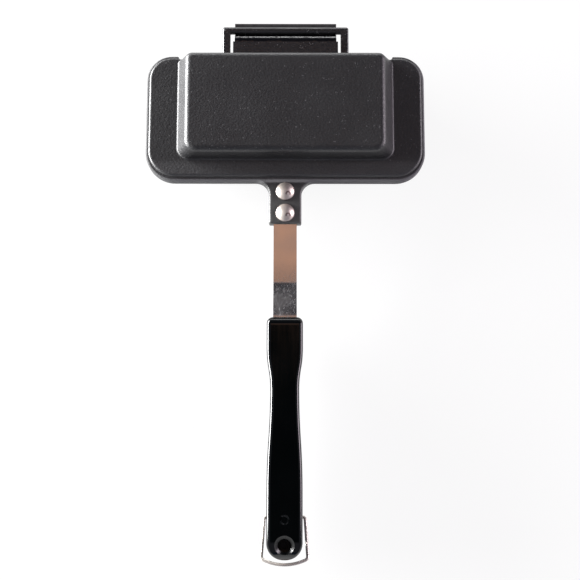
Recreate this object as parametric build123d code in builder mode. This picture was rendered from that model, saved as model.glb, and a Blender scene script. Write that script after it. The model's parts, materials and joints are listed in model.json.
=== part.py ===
"""Solo pie iron: two hinged aluminium plates with a pocket for one folded slice of bread.

X runs across the iron, Y along it towards the hinge, Z up. The origin is the centre of the lower plate's flat
base, so the iron lies closed on Z = 0. The upper half is modelled first, and the lower half mirrors it in the
parting plane, except at the hinge and at the bail's pivot.
"""

from build123d import *
import os
from math import asin, cos, degrees, radians, sin

# ---------------------------------------------------------------- driving dimensions, mm

# cooking plates
half_height = 18.0  # parting plane to the flat of a pocket
parting_gap = 0.3  # between the two flanges when closed
plate_width = 156.2
plate_front = -43.05  # handle-side edge of the flange
plate_hinge_edge = 29.5  # hinge-side edge of the flange, at its two corners
front_corner = 16.5
hinge_corner = 14.0
lip_height = 3.6  # low ledge round the flange, and the tab with it
lip_side = 1.5  # its width at the sides
lip_front = 2.4
lip_round = 1.2
flange_height = 5.4
flange_round = 1.6

# pocket
block_width = 120.4
block_front = -30.8
block_hinge = 27.4  # hinge-side wall, with no flange beyond it
side_draft = 24.5  # degrees
front_draft = 7.0
hinge_draft = 2.0
wall = 2.4
hinge_wall = 2.6
block_corner = 6.5
hinge_side_corner = 4.0
block_round = 3.4
root_round = 1.2
pocket_round = 2.0
notch_reach = 60.8  # the flange's corners stop here, with a V-notch between them and the block
notch_valley = 59.6
notch_depth = 2.6

# tab that carries the strap
tab_width = 18.0
tab_length = 23.95
tab_fillet = 7.5
tab_end_round = 0.8

# rivets
rivet_inset = 6.0  # last rivet to the tab's end
rivet_pitch = 12.2
rivet_head_diameter = 10.5
rivet_head_height = 3.0
rivet_rim = 0.4
rivet_shank = 4.8
rivet_tail_diameter = 7.4
rivet_tail_depth = 1.0
rivet_clearance = 0.05

# strap
strap_width = 12.8
strap_thickness = 1.6
strap_face = 0.35  # inner face of the strap above the parting plane, at the tab
strap_clearance = 0.1
strap_bed = 0.05  # between the strap and the bottom of its channel
strap_overlap = 5.6  # strap beyond the first rivet
strap_end_corner = 3.0
joggle_start = -100.2
joggle_length = 18.2
joggle_radius = 8.0
anchor_hole = 5.0

# handle
handle_top = -119.65
handle_length = 128.5
handle_thickness = 12.0
handle_face = 0.4  # inner face above the parting plane
handle_wide = 19.5
waist_wall = 1.35  # handle beside the strap's slot at the narrowest place
handle_swell = 19.1
shoulder_length = 17.0  # parallel stretch at the strap's end
waist_place = 39.0  # narrowest place, from the strap's end
swell_place = 92.0
handle_nose = 4.4
handle_nose_drop = 3.4
tip_nose = 11.0
tip_nose_drop = 8.0
shoulder_corner = 3.5
handle_edge = 2.2
inner_edge = 0.4
tang_length = 56.0
tang_clearance = 0.02
recess_diameter = 7.2  # blind recess in the outer face at the tip
recess_inset = 8.2  # its centre to the handle's tip
recess_depth = 9.0
recess_bevel = 1.7
mark_diameter = 5.0
mark_groove = 0.7
mark_depth = 0.3

# hinge
hinge_y = 45.95
bar_diameter = 4.2
frame_width = 71.8
leg_width = 4.5
frame_corner = 1.3
leg_drop = 4.6  # lowest point of a leg's root below the parting plane
hook_clearance = 0.25
hook_thickness = 1.7
tongue_width = 59.6
neck_width = 57.8
tongue_level = 2.0  # middle of the tongue above the parting plane
tongue_bend = 4.0
hook_rise = 10.0  # degrees that the hook's tip rises above the axis
tongue_step = 11.2  # length of the wider part of the tongue
tongue_root = 2.0  # how far the tongue runs into the plate
frame_root = 2.0
leg_step = 0.6  # where a leg starts to rise, clear of the other plate
leg_foot = 5.4

# bail
wire_diameter = 1.8
bail_reach = 25.9
bail_bow = 3.2
bail_foot_gap = 1.5  # middle of the wire to the handle's side
bail_corner_spread = 1.35
bail_foot_bend = 1.3
bail_corner_bend = 2.2
bail_rest_angle = 23.0  # above the handle's own line, clear of the upper handle's tip
pivot_inset = 21.55  # pivot to the handle's tip
pivot_hole_depth = 4.2
pivot_pin_length = 3.6
pivot_clearance = 0.06

overshoot = 1.0  # cutters run this far past the face that they open
margin = 0.1  # for picking edges by their place

# ---------------------------------------------------------------- derived places

parting = Plane.XY.offset(half_height)
half_gap = parting_gap / 2
tab_end = plate_front - tab_length
rivet_spots = [tab_end + rivet_inset, tab_end + rivet_inset + rivet_pitch]
strap_end = rivet_spots[1] + strap_overlap
strap_low_z = half_height + strap_face + strap_thickness / 2
strap_high_z = half_height + handle_face + handle_thickness / 2
handle_tip = handle_top - handle_length
handle_outer = handle_face + handle_thickness
handle_waist = strap_width + 2 * waist_wall
anchor_y = handle_top - tang_length + strap_width / 2
pivot_y = handle_tip + pivot_inset
pivot_z = half_height - handle_face - handle_thickness / 2
bar_radius = bar_diameter / 2
hook_radius = bar_radius + hook_clearance + hook_thickness / 2
neck_lean = degrees(asin((tongue_bend - tongue_level) / (hook_radius + tongue_bend)))  # off the vertical
bend_y = hinge_y - (hook_radius + tongue_bend) * cos(radians(neck_lean))
tongue_z = half_height + tongue_level


def outline(plane, half_width, front, hinge, front_radius, hinge_radius):
    """A rectangle across the plate, with one corner radius at the handle side and one at the hinge side."""
    with BuildSketch(plane) as sketch:
        with Locations((0, (front + hinge) / 2)):
            Rectangle(2 * half_width, hinge - front)
        fillet(sketch.vertices().group_by(Axis.Y)[0], front_radius)
        fillet(sketch.vertices().group_by(Axis.Y)[-1], hinge_radius)
    return sketch.sketch


def midway(start, end):
    """The point halfway between two points of a sketch."""
    return (Vector(start) + Vector(end)) / 2


def drafted_block(foot, top, inset, hinge_inset, corner, hinge_side, top_round):
    """The pocket's form between two heights over the parting plane, each side with its own draft."""
    front = block_front + inset
    hinge = block_hinge - hinge_inset
    neutral = parting.offset(flange_height)
    with BuildPart() as form:
        with BuildSketch(parting.offset(foot)):
            with Locations((0, (front + hinge) / 2)):
                Rectangle(block_width - 2 * inset, hinge - front)
        extrude(amount=top - foot)
        draft(form.faces().sort_by(Axis.X)[0], neutral, side_draft)
        draft(form.faces().sort_by(Axis.X)[-1], neutral, side_draft)
        draft(form.faces().sort_by(Axis.Y)[0], neutral, front_draft)
        draft(form.faces().sort_by(Axis.Y)[-1], neutral, hinge_draft)
        corners = form.edges().filter_by(lambda e: abs((e % 0.5).Z) > 0.5)
        fillet(corners.group_by(Axis.Y)[0], corner)
        corners = form.edges().filter_by(lambda e: abs((e % 0.5).Z) > 0.5)
        fillet(corners.group_by(Axis.Y)[-1], hinge_side)
        fillet(form.faces().sort_by(Axis.Z)[-1].edges(), top_round)
    return form.part


# ---------------------------------------------------------------- plates

block = drafted_block(half_gap, half_height, 0, 0, block_corner, hinge_side_corner, block_round)
pocket = drafted_block(
    0,
    half_height - wall,
    wall,
    hinge_wall,
    block_corner - wall / 2,
    hinge_side_corner - wall / 2,
    pocket_round,
)

with BuildPart() as raised_face:
    face = outline(
        parting.offset(half_gap),
        plate_width / 2 - lip_side,
        plate_front + lip_front,
        plate_hinge_edge - lip_side,
        front_corner - lip_side,
        hinge_corner - lip_side,
    )
    extrude(face, amount=flange_height - half_gap)
    fillet(raised_face.edges().group_by(Axis.Z)[-1], flange_round)

with BuildPart() as half_plate:
    # low ledge all round, with the tab blending into it at the handle side
    with BuildSketch(parting.offset(half_gap)) as ledge:
        add(outline(Plane.XY, plate_width / 2, plate_front, plate_hinge_edge, front_corner, hinge_corner))
        with Locations((0, (tab_end + block_front) / 2)):
            Rectangle(tab_width, block_front - tab_end)
        front = ledge.vertices().filter_by(lambda v: abs(v.Y - plate_front) < margin)
        fillet(front.filter_by(lambda v: abs(v.X) < tab_width), tab_fillet)
        fillet(ledge.vertices().group_by(Axis.Y)[0], tab_end_round)
    extrude(amount=lip_height - half_gap)
    fillet(half_plate.edges().group_by(Axis.Z)[-1], lip_round)
    add(raised_face.part)
    # no flange at the hinge side, where a V-notch parts each of its corners from the block
    with BuildSketch(parting):
        Polygon(
            (-notch_reach, plate_hinge_edge),
            (-notch_valley, plate_hinge_edge - notch_depth),
            (notch_valley, plate_hinge_edge - notch_depth),
            (notch_reach, plate_hinge_edge),
            align=None,
        )
    extrude(amount=flange_height, mode=Mode.SUBTRACT)
    # pocket block
    add(block)
    level = half_height + flange_height
    base = half_plate.edges().filter_by_position(Axis.Z, level - margin, level + margin)
    base = base.filter_by(lambda e: abs(e.center().X) < block_width / 2 + margin)
    base = base.filter_by(lambda e: block_front - margin < e.center().Y < block_hinge - hinge_side_corner)
    fillet(base, root_round)
    add(pocket, mode=Mode.SUBTRACT)
    # channel that the strap lies in, open at the tab's end
    channel_end = strap_end + strap_clearance
    with BuildSketch(parting) as channel:
        with Locations((0, (channel_end + tab_end - overshoot) / 2)):
            Rectangle(strap_width + 2 * strap_clearance, channel_end - tab_end + overshoot)
        fillet(channel.vertices().group_by(Axis.Y)[-1], strap_end_corner)
    extrude(amount=strap_face + strap_thickness + strap_bed, mode=Mode.SUBTRACT)
    with BuildSketch(parting) as rivet_holes:
        with Locations(*[(0, y) for y in rivet_spots]):
            Circle(rivet_shank / 2 + rivet_clearance)
    extrude(amount=lip_height + overshoot, mode=Mode.SUBTRACT)


# ---------------------------------------------------------------- hinge

# the upper plate's tongue runs out level, bends down and hooks round the lower plate's bar
with BuildPart() as upper_plate:
    add(half_plate.part)
    with BuildSketch(Plane.YZ) as hook_profile:
        with BuildLine():
            tongue = Line((block_hinge - tongue_root, tongue_z), (bend_y, tongue_z))
            JernArc(tongue @ 1, tongue % 1, tongue_bend, neck_lean - 90)
            CenterArc((hinge_y, half_height), hook_radius, 180 + neck_lean, 180 + hook_rise - neck_lean)
        trace(line_width=hook_thickness)
    extrude(amount=neck_width / 2, both=True)
    with BuildSketch(Plane.XY.offset(tongue_z - hook_thickness / 2)):
        with Locations((0, block_hinge + (tongue_step - tongue_root) / 2)):
            Rectangle(tongue_width, tongue_step + tongue_root)
    extrude(amount=hook_thickness)

# two legs with a round bar between them, one casting with the lower plate
with BuildPart() as frame:
    with BuildSketch(Plane.YZ.offset(frame_width / 2)):
        with BuildLine():
            Polyline(
                (block_hinge - frame_root, half_height - half_gap),
                (block_hinge + leg_step, half_height - half_gap),
                (block_hinge + leg_step + bar_radius + half_gap, half_height + bar_radius),
                (hinge_y, half_height + bar_radius),
                (hinge_y, half_height - bar_radius),
                (block_hinge + leg_step + leg_foot, half_height - bar_radius),
                (block_hinge, half_height - leg_drop),
                (block_hinge - frame_root, half_height - leg_drop),
                close=True,
            )
        make_face()
        with Locations((hinge_y, half_height)):
            Circle(bar_radius)
    extrude(amount=-leg_width)
    outer_corner = frame.edges().filter_by(GeomType.CIRCLE).group_by(Axis.X)[-1]
    fillet(outer_corner, frame_corner)
    mirror(about=Plane.YZ)
    with BuildSketch(Plane.YZ):
        with Locations((hinge_y, half_height)):
            Circle(bar_radius)
    extrude(amount=frame_width / 2 - leg_width, both=True)

with BuildPart() as lower_plate:
    mirror(half_plate.part, about=parting)
    add(frame.part)


# ---------------------------------------------------------------- straps and rivets

with BuildPart() as upper_strap:
    with BuildSketch(Plane.YZ):
        with BuildLine():
            FilletPolyline(
                (strap_end, strap_low_z),
                (joggle_start, strap_low_z),
                (joggle_start - joggle_length, strap_high_z),
                (handle_top - tang_length, strap_high_z),
                radius=joggle_radius,
            )
        trace(line_width=strap_thickness)
    extrude(amount=strap_width / 2, both=True)
    fillet(upper_strap.edges().filter_by(Axis.Z).group_by(Axis.Y)[-1], strap_end_corner)
    fillet(upper_strap.edges().filter_by(Axis.Z).group_by(Axis.Y)[0], strap_end_corner)
    with BuildSketch(parting):
        with Locations(*[(0, y) for y in rivet_spots]):
            Circle(rivet_shank / 2 + rivet_clearance)
        with Locations((0, anchor_y)):
            Circle(anchor_hole / 2)
    extrude(amount=handle_thickness, mode=Mode.SUBTRACT)
    # countersinks for the rivets' tails
    for y in rivet_spots:
        with Locations((0, y, half_height + strap_face + rivet_tail_depth / 2)):
            Cone(
                rivet_tail_diameter / 2 + rivet_clearance,
                rivet_shank / 2 + rivet_clearance,
                rivet_tail_depth,
                mode=Mode.SUBTRACT,
            )


def make_rivet(y):
    """Domed rivet from the tab's face down through the strap, its tail set into a countersink."""
    face = half_height + lip_height
    tail = half_height + strap_face
    head = rivet_head_diameter / 2
    with BuildPart() as rivet:
        with BuildSketch(Plane(origin=(0, y, 0), x_dir=(1, 0, 0), z_dir=(0, -1, 0))):
            with BuildLine():
                Polyline(
                    (0, face + rivet_head_height),
                    (0, tail),
                    (rivet_tail_diameter / 2, tail),
                    (rivet_shank / 2, tail + rivet_tail_depth),
                    (rivet_shank / 2, face),
                    (head, face),
                    (head, face + rivet_rim),
                )
                TangentArc((0, face + rivet_head_height), (head, face + rivet_rim), tangent=(1, 0))
            make_face()
        revolve(axis=Axis((0, y, 0), (0, 0, 1)))
    return rivet.part


# ---------------------------------------------------------------- handles

with BuildPart() as handle:
    with BuildSketch(parting.offset(handle_face)) as handle_plan:
        with BuildLine():
            top = Line((0, handle_top), (handle_wide / 2, handle_top))
            shoulder = Line(top @ 1, (handle_wide / 2, handle_top - shoulder_length))
            waist = (handle_waist / 2, handle_top - waist_place)
            swell = (handle_swell / 2, handle_top - swell_place)
            shoulder_bend = TangentArc(shoulder @ 1, midway(shoulder @ 1, waist), tangent=(0, -1))
            waist_bend = TangentArc(shoulder_bend @ 1, waist, tangent=shoulder_bend % 1)
            swell_bend = TangentArc(waist, midway(waist, swell), tangent=waist_bend % 1)
            tail_bend = TangentArc(swell_bend @ 1, swell, tangent=swell_bend % 1)
            run = Line(tail_bend @ 1, (handle_swell / 2, handle_tip + handle_swell / 2))
            RadiusArc(run @ 1, (0, handle_tip), handle_swell / 2)
            mirror(about=Plane.YZ)
        make_face()
        fillet(handle_plan.vertices().group_by(Axis.Y)[-1], shoulder_corner)
    extrude(amount=handle_thickness)
    # noses at both ends, seen from the side: each falls steeply but not upright to the end wall
    with BuildSketch(Plane.YZ):
        with BuildLine():
            outer_z = half_height + handle_outer
            inner_z = half_height + handle_face
            tip_start = (handle_tip + tip_nose, outer_z)
            tip_end = (handle_tip, outer_z - tip_nose_drop)
            nose_start = (handle_top - handle_nose, outer_z)
            nose_end = (handle_top, outer_z - handle_nose_drop)
            TangentArc(tip_start, tip_end, tangent=(-1, 0))
            TangentArc(nose_start, nose_end, tangent=(1, 0))
            Line(tip_start, nose_start)
            Polyline(nose_end, (handle_top, inner_z), (handle_tip, inner_z), tip_end)
        make_face()
    extrude(amount=handle_wide, both=True, mode=Mode.INTERSECT)
    # round the whole outer outline, and ease the inner one
    outline_edges = handle.edges().filter_by(lambda e: abs((e % 0.5).Z) < 0.95)
    outer_edges = outline_edges.filter_by(lambda e: e.center().Z > half_height + handle_thickness / 4)
    outer_edges = outer_edges.filter_by(
        lambda e: abs(e.center().X) > margin or e.center().Z < outer_z - margin
    )
    fillet(outer_edges, handle_edge)
    chamfer(handle.edges().group_by(Axis.Z)[0], inner_edge)
    # slot that the strap's tang fills, with a post through the tang's anchor hole
    tang_floor = Plane.XY.offset(strap_high_z - strap_thickness / 2 - tang_clearance)
    with BuildSketch(tang_floor) as slot:
        with Locations((0, handle_top + (overshoot - tang_length - tang_clearance) / 2)):
            Rectangle(strap_width + 2 * tang_clearance, tang_length + tang_clearance + overshoot)
        fillet(slot.vertices().group_by(Axis.Y)[0], strap_end_corner)
        with Locations((0, anchor_y)):
            Circle(anchor_hole / 2 - tang_clearance, mode=Mode.SUBTRACT)
    extrude(amount=strap_thickness + 2 * tang_clearance, mode=Mode.SUBTRACT)
    # blind recess with a bevelled rim, and a ring mark beside it
    recess_y = handle_tip + recess_inset
    with BuildSketch(parting.offset(handle_outer - recess_depth)):
        with Locations((0, recess_y)):
            Circle(recess_diameter / 2)
    extrude(amount=recess_depth + overshoot, mode=Mode.SUBTRACT)
    rim = handle.edges().filter_by(lambda e: e.center().Z > half_height + handle_thickness / 2)
    rim_reach = recess_diameter / 2 + margin
    rim = rim.filter_by(lambda e: (e.center() - Vector(0, recess_y, e.center().Z)).length < rim_reach)
    chamfer(rim, recess_bevel)
    with BuildSketch(parting.offset(handle_outer)):
        with Locations((0, pivot_y)):
            Circle(mark_diameter / 2)
            Circle(mark_diameter / 2 - mark_groove, mode=Mode.SUBTRACT)
    extrude(amount=-mark_depth, mode=Mode.SUBTRACT)

with BuildPart() as upper_handle:
    add(handle.part)

with BuildPart() as lower_handle:
    mirror(handle.part, about=parting)
    # blind holes in both sides for the bail's ends
    for side_plane in (Plane.YZ.offset(handle_swell / 2), Plane.YZ.offset(-handle_swell / 2)):
        inward = -pivot_hole_depth if side_plane.origin.X > 0 else pivot_hole_depth
        with BuildSketch(side_plane):
            with Locations((pivot_y, pivot_z)):
                Circle(wire_diameter / 2 + pivot_clearance)
        extrude(amount=inward, mode=Mode.SUBTRACT)


# ---------------------------------------------------------------- bail

# the wire lies in a plane through its pivot, leaning up from the handle's line
lean = radians(bail_rest_angle)
bail_plane = Plane(origin=(0, pivot_y, pivot_z), x_dir=(1, 0, 0), z_dir=(0, -sin(lean), -cos(lean)))
foot_x = handle_swell / 2 + bail_foot_gap
corner_x = foot_x + bail_corner_spread
corner_y = bail_reach - bail_bow

with BuildPart() as bail:
    with BuildLine(bail_plane) as wire:
        pin_end = (handle_swell / 2 - pivot_pin_length, 0)
        FilletPolyline(pin_end, (foot_x, 0), (corner_x, corner_y), radius=bail_foot_bend)
        mirror(about=Plane.YZ)
        ThreePointArc((corner_x, corner_y), (0, bail_reach), (-corner_x, corner_y))
        corners = wire.vertices().filter_by(lambda v: abs(abs(v.X) - corner_x) < margin)
        fillet(corners, bail_corner_bend)
    for stretch in wire.edges():
        with BuildSketch(Plane(origin=stretch @ 0, z_dir=stretch % 0)):
            Circle(wire_diameter / 2)
        if stretch.geom_type == GeomType.LINE:
            extrude(amount=stretch.length)
        else:
            turn = Axis(stretch.arc_center, (stretch % 0).cross(stretch % 1))
            revolve(axis=turn, revolution_arc=degrees(stretch.length / stretch.radius))


# ---------------------------------------------------------------- lower half's straps and rivets, and export

with BuildPart() as lower_strap:
    mirror(upper_strap.part, about=parting)

front_y, rear_y = rivet_spots

with BuildPart() as upper_rivet_front:
    add(make_rivet(front_y))

with BuildPart() as upper_rivet_rear:
    add(make_rivet(rear_y))

with BuildPart() as lower_rivet_front:
    mirror(upper_rivet_front.part, about=parting)

with BuildPart() as lower_rivet_rear:
    mirror(upper_rivet_rear.part, about=parting)

pieces = {
    "upper_plate": upper_plate,
    "upper_strap": upper_strap,
    "upper_rivet_front": upper_rivet_front,
    "upper_rivet_rear": upper_rivet_rear,
    "upper_handle": upper_handle,
    "lower_plate": lower_plate,
    "lower_strap": lower_strap,
    "lower_rivet_front": lower_rivet_front,
    "lower_rivet_rear": lower_rivet_rear,
    "lower_handle": lower_handle,
    "bail": bail,
}

os.makedirs("parts", exist_ok=True)
for name, piece in pieces.items():
    piece.part.label = name
    export_step(piece.part, f"parts/{name}.step")
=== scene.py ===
"""Looks, light and camera of a solo pie iron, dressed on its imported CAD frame."""

import json
import math

import bpy
from mathutils import Matrix, Vector

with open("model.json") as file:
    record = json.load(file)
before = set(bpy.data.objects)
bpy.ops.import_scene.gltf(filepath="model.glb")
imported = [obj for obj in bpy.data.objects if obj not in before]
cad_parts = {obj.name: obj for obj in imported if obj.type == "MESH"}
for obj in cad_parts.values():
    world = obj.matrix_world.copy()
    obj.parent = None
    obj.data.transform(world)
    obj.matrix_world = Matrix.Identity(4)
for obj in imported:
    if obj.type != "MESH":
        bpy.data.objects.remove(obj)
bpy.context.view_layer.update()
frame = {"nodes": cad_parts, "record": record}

MM = 0.001

# ---------------------------------------------------------------- camera and image, as the photograph was taken

IMAGE_SIDE = 580  # pixels
FOCAL_PIXELS = 1011.0
CAMERA_PLACE = Vector((2.72, -182.6, 569.4)) * MM
CAMERA_TILT = math.radians(8.15)  # off straight down, towards the hinge
CAMERA_ROLL = math.radians(0.08)

WHITE = (1.0, 1.0, 1.0)
FLOOR_GLOW = 0.87
FLOOR_HALF = 3.0  # metres
LAMP_AIM = (0, -0.1, 0.02)

# ---------------------------------------------------------------- places on the object

# a pair of values is where a mask starts and where it is full
RIM_MIDDLE_Y = -6.8 * MM  # the flange's outline: a rectangle with round corners
RIM_CORNER_X = 62.0 * MM
RIM_CORNER_Y = 20.2 * MM
RIM = (14.9 * MM, 15.6 * MM)  # outwards from the corners' middles
RIM_HINGE_END = (20 * MM, 27 * MM)
RIM_FRONT_END = (-44 * MM, -43.4 * MM)
RIM_LEFT = (-75 * MM, -62 * MM)
FRONT_STRIP = (-34 * MM, -31 * MM)
TANG = (-47 * MM, -45 * MM)
TONGUE_HALF = (30.5 * MM, 31.2 * MM)
TONGUE = (27.6 * MM, 28.4 * MM)
LEGS = (28.6 * MM, 29.4 * MM)
NECK_START = (38.4 * MM, 38.8 * MM)
NECK_END = (43.2 * MM, 43.7 * MM)
NECK_HALF = (29.0 * MM, 29.4 * MM)
HOOK_TOP = (46.2 * MM, 46.8 * MM)
HANDLED_STRAP = (-98 * MM, -82 * MM)
RIVET_Y = -61.0 * MM  # one rivet's middle; the other is a pitch away
HALF_PITCH = 6.1 * MM
RIVET_SHADE_RING = (4.7 * MM, 5.15 * MM)
CURL_PLACE = (1.6 * MM, -1.9 * MM)
CURL_RADIUS = 1.1 * MM
RING_MARK_Y = -226.6 * MM
RING_MARK_RADIUS = 2.15 * MM
RECESS_Y = -239.95 * MM
RECESS_RIM = (5.2 * MM, 5.6 * MM)


def socket_set(node, **values):
    """Sets several input sockets of a node by name, with underscores for spaces."""
    for name, value in values.items():
        node.inputs[name.replace("_", " ")].default_value = value


class Nodes:
    """Helpers that add nodes to a material's or a world's tree."""

    def __init__(self, tree):
        self.tree = tree

    def link(self, output, node, name):
        self.tree.links.new(output, node.inputs[name])

    def band(self, value, low, high, to_low=0.0, to_high=1.0):
        """Remaps a value from one range to another, held at both ends."""
        node = self.tree.nodes.new("ShaderNodeMapRange")
        self.link(value, node, "Value")
        limits = {"From Min": low, "From Max": high, "To Min": to_low, "To Max": to_high}
        for name, limit in limits.items():
            node.inputs[name].default_value = limit
        return node.outputs["Result"]

    def math(self, operation, first, second):
        node = self.tree.nodes.new("ShaderNodeMath")
        node.operation = operation
        for index, value in enumerate((first, second)):
            if isinstance(value, (int, float)):
                node.inputs[index].default_value = value
            else:
                self.tree.links.new(value, node.inputs[index])
        return node.outputs["Value"]

    def below(self, value, low, high):
        """1 under the low end, falling to 0 at the high end."""
        return self.band(value, low, high, 1.0, 0.0)

    def product(self, *factors):
        """All the factors multiplied."""
        result = factors[0]
        for factor in factors[1:]:
            result = self.math("MULTIPLY", result, factor)
        return result

    def total(self, *parts):
        """All the parts added."""
        result = parts[0]
        for part in parts[1:]:
            result = self.math("ADD", result, part)
        return result

    def largest(self, *values):
        """The largest of the values."""
        result = values[0]
        for value in values[1:]:
            result = self.math("MAXIMUM", result, value)
        return result

    def magnitude(self, value):
        """A value without its sign."""
        return self.math("ABSOLUTE", value, 0.0)

    def distance(self, first, second):
        """Length of the vector with these two parts."""
        return self.math("SQRT", self.total(self.math("POWER", first, 2.0), self.math("POWER", second, 2.0)), 0.0)

    def wrap(self, value, low, high):
        """Brings a value into a range by whole steps."""
        node = self.tree.nodes.new("ShaderNodeMath")
        node.operation = "WRAP"
        self.tree.links.new(value, node.inputs[0])
        node.inputs[1].default_value = high
        node.inputs[2].default_value = low
        return node.outputs["Value"]

    def mix(self, factor, first, second):
        """Mixes two colours, each a tuple or a socket."""
        node = self.tree.nodes.new("ShaderNodeMix")
        node.data_type = "RGBA"
        self.link(factor, node, "Factor")
        for name, value in (("A", first), ("B", second)):
            socket = next(s for s in node.inputs if s.name == name and s.type == "RGBA")
            if isinstance(value, tuple):
                socket.default_value = (*value, 1.0)
            else:
                self.tree.links.new(value, socket)
        return next(s for s in node.outputs if s.type == "RGBA")


class Finish(Nodes):
    """A procedural material under construction: a Principled shader and the nodes that feed it."""

    def __init__(self, name):
        self.material = bpy.data.materials.new(name)
        self.material.use_nodes = True
        super().__init__(self.material.node_tree)
        self.shader = self.tree.nodes["Principled BSDF"]
        self.place = self.tree.nodes.new("ShaderNodeTexCoord").outputs["Object"]

    def axes(self):
        """Object coordinates, one by one."""
        node = self.tree.nodes.new("ShaderNodeSeparateXYZ")
        self.link(self.place, node, "Vector")
        return node.outputs["X"], node.outputs["Y"], node.outputs["Z"]

    def mapping(self, scale):
        """Object coordinates, stretched."""
        node = self.tree.nodes.new("ShaderNodeMapping")
        node.inputs["Scale"].default_value = scale
        self.link(self.place, node, "Vector")
        return node.outputs["Vector"]

    def noise(self, scale, detail=3.0, roughness=0.55, stretch=(1, 1, 1), distortion=0.0):
        """Noise with features about 1 / scale metres across."""
        node = self.tree.nodes.new("ShaderNodeTexNoise")
        socket_set(node, Scale=scale, Detail=detail, Roughness=roughness, Distortion=distortion)
        self.link(self.mapping(stretch), node, "Vector")
        return node.outputs["Fac"]

    def cells(self, scale, stretch=(1, 1, 1)):
        """Distance to the nearest of scattered points."""
        node = self.tree.nodes.new("ShaderNodeTexVoronoi")
        node.inputs["Scale"].default_value = scale
        self.link(self.mapping(stretch), node, "Vector")
        return node.outputs["Distance"]

    def bump(self, height, distance, strength=1.0, under=None):
        """A bump of a real depth in metres, on top of another one."""
        node = self.tree.nodes.new("ShaderNodeBump")
        socket_set(node, Strength=strength, Distance=distance)
        self.link(height, node, "Height")
        if under is not None:
            self.link(under, node, "Normal")
        return node.outputs["Normal"]

    def finish(self, colour, roughness, normal, **constants):
        self.link(colour, self.shader, "Base Color")
        self.link(roughness, self.shader, "Roughness")
        self.link(normal, self.shader, "Normal")
        socket_set(self.shader, **constants)
        return self.material


def plate_material():
    """Matte black non-stick coating: grainy, with pale specks, a painted highlight on the rim, paler on the tang,
    painted shade in the tongue's bend, rubbing streaks and a painted sheen on the hook's top, smoother at the
    hinge.
    """
    coat = Finish("nonstick_coating")
    across, along, _ = coat.axes()
    from_middle = coat.magnitude(across)
    mottling = coat.noise(38.0, detail=4.0)
    grain = coat.noise(1500.0, detail=3.0)
    specks = coat.below(coat.cells(1000.0), 0.12, 0.34)
    fleck = coat.product(specks, coat.band(coat.noise(420.0, detail=2.0), 0.57, 0.67))
    ground = coat.mix(coat.band(mottling, 0.3, 0.7), (0.0035, 0.0034, 0.0048), (0.0062, 0.0060, 0.0072))
    ground = coat.mix(coat.band(grain, 0.35, 0.70), ground, (0.020, 0.020, 0.022))
    colour = coat.mix(fleck, ground, (0.17, 0.17, 0.175))
    # paler in front of the block, and scuffed on the tang
    front = coat.product(coat.below(along, *FRONT_STRIP), coat.band(grain, 0.3, 0.6, 0.4, 1.0))
    colour = coat.mix(front, colour, (0.040, 0.040, 0.042))
    tang = coat.product(coat.below(along, *TANG), coat.band(mottling, 0.35, 0.65, 0.3, 1.0))
    colour = coat.mix(tang, colour, (0.115, 0.118, 0.112))
    # the rim of the flange is painted paler as a painted highlight along its rounded edge, dim on the left where
    # the left lamp already lights it and most on the right; its edge is broken up by the grain
    out_x = coat.largest(coat.math("SUBTRACT", from_middle, RIM_CORNER_X), 0.0)
    from_centre = coat.magnitude(coat.math("SUBTRACT", along, RIM_MIDDLE_Y))
    out_y = coat.largest(coat.math("SUBTRACT", from_centre, RIM_CORNER_Y), 0.0)
    reach = coat.total(coat.distance(out_x, out_y), coat.product(grain, 0.5 * MM))
    rim = coat.product(coat.band(reach, *RIM), coat.below(along, *RIM_HINGE_END), coat.band(along, *RIM_FRONT_END))
    # painted highlight tone: dark on the lamp-lit left, pale on the shaded right
    rim_highlight_tone = coat.mix(coat.band(across, *RIM_LEFT), (0.035, 0.035, 0.036), (0.17, 0.17, 0.175))
    colour = coat.mix(rim, colour, rim_highlight_tone)
    # the hinge: tongue and legs rubbed smoother, painted shade where the tongue bends down, and on top of the hook
    # paler streaks, partly rubbing wear and partly a painted sheen
    inner = coat.below(from_middle, *TONGUE_HALF)
    rubbed = coat.product(coat.band(along, *TONGUE), inner)
    legs = coat.product(coat.band(along, *LEGS), coat.below(inner, 0.0, 1.0))
    neck_shade = coat.product(
        coat.band(along, *NECK_START), coat.below(along, *NECK_END), coat.below(from_middle, *NECK_HALF)
    )
    # painted shade: the tongue's bend is coloured near black for the shade between the block and the bar
    colour = coat.mix(neck_shade, colour, (0.001, 0.001, 0.0016))
    streaks = coat.noise(700.0, detail=3.0, stretch=(1, 0.15, 1))
    # the hook's top: paler streaks, partly rubbing wear and partly a painted sheen
    worn_and_sheen = coat.product(coat.band(along, *HOOK_TOP), coat.band(streaks, 0.35, 0.65, 0.35, 1.0))
    colour = coat.mix(worn_and_sheen, colour, (0.040, 0.040, 0.041))
    roughness = coat.band(coat.total(grain, mottling), 0.7, 1.3, 0.40, 0.50)
    smoother = coat.total(coat.product(coat.largest(rubbed, legs), 0.23), coat.product(neck_shade, 0.10))
    roughness = coat.math("SUBTRACT", roughness, smoother)
    rougher = coat.largest(coat.product(rim, 1.3), worn_and_sheen)
    roughness = coat.total(roughness, coat.product(rougher, 0.25))
    peel = coat.bump(coat.noise(800.0, detail=3.0), 0.00022, 0.8)
    normal = coat.bump(fleck, 0.00002, 0.4, under=peel)
    return coat.finish(colour, roughness, normal, IOR=1.75)


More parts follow.
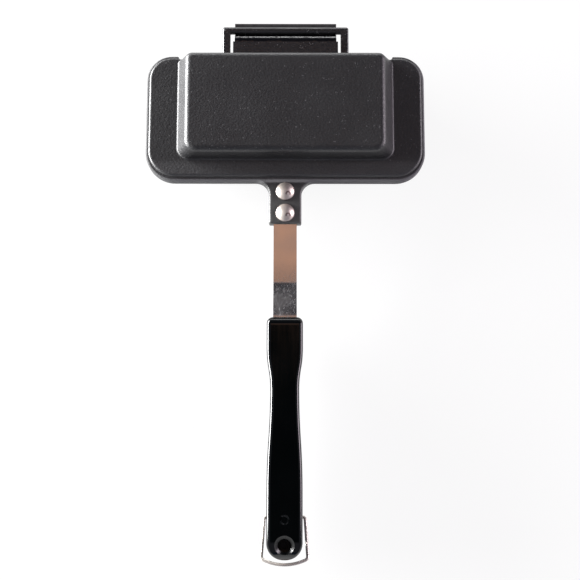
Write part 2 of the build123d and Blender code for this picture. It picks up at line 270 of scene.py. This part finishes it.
def strap_material():
    """Bright rolled steel strip, with faint lengthwise lines and fine scratches near the handle."""
    steel = Finish("rolled_steel")
    _, along, _ = steel.axes()
    lines = steel.noise(900.0, detail=4.0, stretch=(1, 0.03, 1))
    clouds = steel.noise(60.0, detail=3.0)
    scratches = steel.noise(1100.0, detail=6.0, roughness=0.7, stretch=(1, 0.35, 1), distortion=1.5)
    handled = steel.below(steel.total(along, steel.product(clouds, 12 * MM)), *HANDLED_STRAP)
    marks = steel.product(steel.band(scratches, 0.54, 0.66), handled)
    colour = steel.mix(steel.band(clouds, 0.3, 0.7), (0.64, 0.61, 0.58), (0.74, 0.71, 0.68))
    colour = steel.mix(marks, colour, (0.80, 0.80, 0.81))
    roughness = steel.band(clouds, 0.3, 0.7, 0.16, 0.24)
    roughness = steel.total(roughness, steel.product(handled, 0.05), steel.product(marks, 0.22))
    normal = steel.bump(lines, 0.000003, 0.3)
    return steel.finish(colour, roughness, normal, Metallic=1.0)


def rivet_material():
    """Upset steel rivet heads, satin, each with a painted shade ring at its edge and a small curled forming mark
    off its middle.
    """
    steel = Finish("rivet_steel")
    across, along, _ = steel.axes()
    clouds = steel.noise(250.0, detail=3.0)
    # both rivets lie one pitch apart, so the place wraps round each head's middle
    local = steel.wrap(steel.math("SUBTRACT", along, RIVET_Y), -HALF_PITCH, HALF_PITCH)
    curl_x, curl_y = CURL_PLACE
    mark_y = steel.math("SUBTRACT", local, curl_y)
    ring = steel.distance(steel.math("SUBTRACT", across, curl_x), mark_y)
    off_ring = steel.magnitude(steel.math("SUBTRACT", ring, CURL_RADIUS))
    curl = steel.product(steel.below(off_ring, 0.2 * MM, 0.55 * MM), steel.band(mark_y, -0.7 * MM, -0.2 * MM))
    colour = steel.mix(steel.band(clouds, 0.3, 0.7), (0.82, 0.72, 0.65), (0.90, 0.82, 0.75))
    colour = steel.mix(curl, colour, (0.24, 0.17, 0.16))
    # painted shade: a dark ring round each head's edge
    edge = steel.band(steel.distance(across, local), *RIVET_SHADE_RING)
    colour = steel.mix(edge, colour, (0.10, 0.09, 0.09))
    roughness = steel.band(clouds, 0.3, 0.7, 0.40, 0.48)
    normal = steel.bump(steel.noise(420.0, detail=2.0), 0.00003, 0.3)
    return steel.finish(colour, roughness, normal, Metallic=0.8)


def handle_material():
    """Gloss black moulded phenolic, with fine scratches, a ring mark with painted highlights and a duller rim on
    the recess.
    """
    resin = Finish("gloss_phenolic")
    across, along, _ = resin.axes()
    clouds = resin.noise(45.0, detail=3.0)
    scratches = resin.noise(700.0, detail=5.0, stretch=(1, 0.05, 1), distortion=0.4)
    scuffs = resin.noise(420.0, detail=2.0)
    colour = resin.mix(resin.band(clouds, 0.3, 0.7), (0.0008, 0.0012, 0.0013), (0.0013, 0.0018, 0.0020))
    # the ring mark's groove is painted pale in broken arcs: painted highlights on its edges
    from_mark = resin.distance(across, resin.math("SUBTRACT", along, RING_MARK_Y))
    off_ring = resin.magnitude(resin.math("SUBTRACT", from_mark, RING_MARK_RADIUS))
    ring_highlight = resin.product(resin.below(off_ring, 0.25 * MM, 0.45 * MM), resin.band(scuffs, 0.42, 0.56))
    colour = resin.mix(ring_highlight, colour, (0.055, 0.060, 0.062))
    roughness = resin.band(resin.total(clouds, scratches), 0.8, 1.3, 0.07, 0.13)
    from_recess = resin.distance(across, resin.math("SUBTRACT", along, RECESS_Y))
    roughness = resin.total(roughness, resin.product(resin.below(from_recess, *RECESS_RIM), 0.17))
    ripple = resin.bump(resin.noise(120.0, detail=1.0), 0.00004, 0.35)
    normal = resin.bump(scratches, 0.000004, 0.3, under=ripple)
    return resin.finish(colour, roughness, normal, IOR=1.54)


def bail_material():
    """Bright plated spring wire with faint drawing lines."""
    plating = Finish("plated_wire")
    lines = plating.noise(1200.0, detail=2.0, stretch=(0.2, 1, 1))
    colour = plating.mix(plating.band(lines, 0.35, 0.65), (0.80, 0.74, 0.68), (0.90, 0.85, 0.79))
    roughness = plating.band(lines, 0.3, 0.7, 0.20, 0.30)
    normal = plating.bump(lines, 0.000006, 0.3)
    return plating.finish(colour, roughness, normal, Metallic=0.65)


def dress_nodes():
    """Gives every CAD node the finish of its material slot."""
    makers = {
        "plate": plate_material,
        "strap": strap_material,
        "rivet": rivet_material,
        "handle": handle_material,
        "bail": bail_material,
    }
    finishes = {slot: make() for slot, make in makers.items()}
    for entry in frame["record"]["subparts"]:
        node = frame["nodes"][entry["node"]]
        node.data.materials.clear()
        node.data.materials.append(finishes[entry["material_slot"]])


# ---------------------------------------------------------------- floor, light and camera


def floor():
    """A wide white floor under the iron. It glows to the eye and to gloss, so shadows on it stay faint."""
    half = FLOOR_HALF
    mesh = bpy.data.meshes.new("floor")
    corners = [(-half, -half, 0), (half, -half, 0), (half, half, 0), (-half, half, 0)]
    mesh.from_pydata(corners, [], [(0, 1, 2, 3)])
    plane = bpy.data.objects.new("floor", mesh)
    bpy.context.scene.collection.objects.link(plane)
    paper = Finish("white_floor")
    tone = paper.mix(paper.band(paper.noise(3.0), 0.3, 0.7), (0.13, 0.13, 0.13), (0.15, 0.15, 0.15))
    paper.link(tone, paper.shader, "Base Color")
    rays = paper.tree.nodes.new("ShaderNodeLightPath").outputs
    seen = paper.largest(rays["Is Camera Ray"], rays["Is Transmission Ray"], rays["Is Glossy Ray"])
    paper.link(paper.product(seen, FLOOR_GLOW), paper.shader, "Emission Strength")
    socket_set(paper.shader, Roughness=0.9, Emission_Color=(*WHITE, 1.0))
    mesh.materials.append(paper.material)


def soft_light(name, place, width, height, power, colour=WHITE):
    """A rectangular soft box at a place, facing the iron's middle."""
    data = bpy.data.lights.new(name, "AREA")
    data.shape = "RECTANGLE"
    data.size = width
    data.size_y = height
    data.energy = power
    data.color = colour
    lamp = bpy.data.objects.new(name, data)
    lamp.location = place
    direction = Vector(LAMP_AIM) - Vector(place)
    lamp.rotation_mode = "QUATERNION"
    lamp.rotation_quaternion = direction.to_track_quat("-Z", "Y")
    bpy.context.scene.collection.objects.link(lamp)


def studio_world():
    """A dim room, pale to the left and beyond the hinge, with a tan ceiling panel that the level straps show."""
    world = bpy.data.worlds.new("studio")
    world.use_nodes = True
    room = Nodes(world.node_tree)
    split = room.tree.nodes.new("ShaderNodeSeparateXYZ")
    room.link(room.tree.nodes.new("ShaderNodeTexCoord").outputs["Generated"], split, "Vector")
    side = split.outputs["X"]
    across = room.magnitude(side)
    along = split.outputs["Y"]
    height = split.outputs["Z"]
    # low walls: dark navy in front, pale beyond the hinge, pale on the left, dull pink on the right
    colour = room.mix(room.band(along, -0.3, 0.5), (0.03, 0.06, 0.14), (0.75, 0.75, 0.75))
    colour = room.mix(room.below(side, -0.8, -0.3), colour, (1.2, 1.2, 1.2))
    colour = room.mix(room.band(side, 0.5, 0.8), colour, (0.60, 0.52, 0.62))
    colour = room.mix(room.band(height, 0.15, 0.40), colour, (0.18, 0.18, 0.21))
    # darker over the hinge side
    shade = room.product(room.band(along, 0.31, 0.38), room.band(height, 0.45, 0.65))
    colour = room.mix(shade, colour, (0.03, 0.03, 0.04))
    # the tan panel overhead, and a dark gap from its near edge towards the handles
    panel_edge = (0.118, 0.124)
    panel = room.product(
        room.below(across, 0.10, 0.16), room.below(along, 0.22, 0.33), room.band(along, *panel_edge)
    )
    colour = room.mix(panel, colour, (0.80, 0.46, 0.32))
    gap = room.product(
        room.below(across, 0.20, 0.32),
        room.below(along, *panel_edge),
        room.band(along, -0.35, -0.20),
        room.band(height, 0.5, 0.6),
    )
    colour = room.mix(gap, colour, (0.008, 0.010, 0.012))
    # the eye sees a plain white backdrop, and so does gloss wherever that backdrop stands: up to a low height
    rays = room.tree.nodes.new("ShaderNodeLightPath").outputs
    backdrop = room.product(rays["Is Glossy Ray"], room.below(height, 0.03, 0.12))
    seen = room.largest(rays["Is Camera Ray"], rays["Is Transmission Ray"], backdrop)
    colour = room.mix(seen, colour, WHITE)
    room.link(colour, world.node_tree.nodes["Background"], "Color")
    bpy.context.scene.world = world


def light_scene():
    """A strong low box on the left, one low beyond the hinge and a weak pinkish one on the right."""
    soft_light("left_box", (-1.2, 0.30, 0.165), 1.4, 0.31, 96)
    soft_light("hinge_box", (0.0, 1.4, 0.14), 1.2, 0.2, 5)
    soft_light("right_box", (1.4, 0.1, 0.50), 0.9, 0.5, 13, (1.0, 0.88, 0.98))
    studio_world()


def place_camera():
    """Looks down on the iron from above the handles, tilted a little towards the hinge."""
    data = bpy.data.cameras.new("camera")
    data.sensor_width = 36.0
    data.lens = data.sensor_width * FOCAL_PIXELS / IMAGE_SIDE
    data.clip_start = 0.05
    camera = bpy.data.objects.new("camera", data)
    bpy.context.scene.collection.objects.link(camera)
    camera.location = CAMERA_PLACE
    tilt = Matrix.Rotation(CAMERA_TILT, 3, "X")
    roll = Matrix.Rotation(CAMERA_ROLL, 3, "Z")
    camera.rotation_euler = (tilt @ roll).to_euler()
    bpy.context.scene.camera = camera


dress_nodes()
floor()
light_scene()
place_camera()
bpy.context.scene.view_settings.view_transform = "Standard"
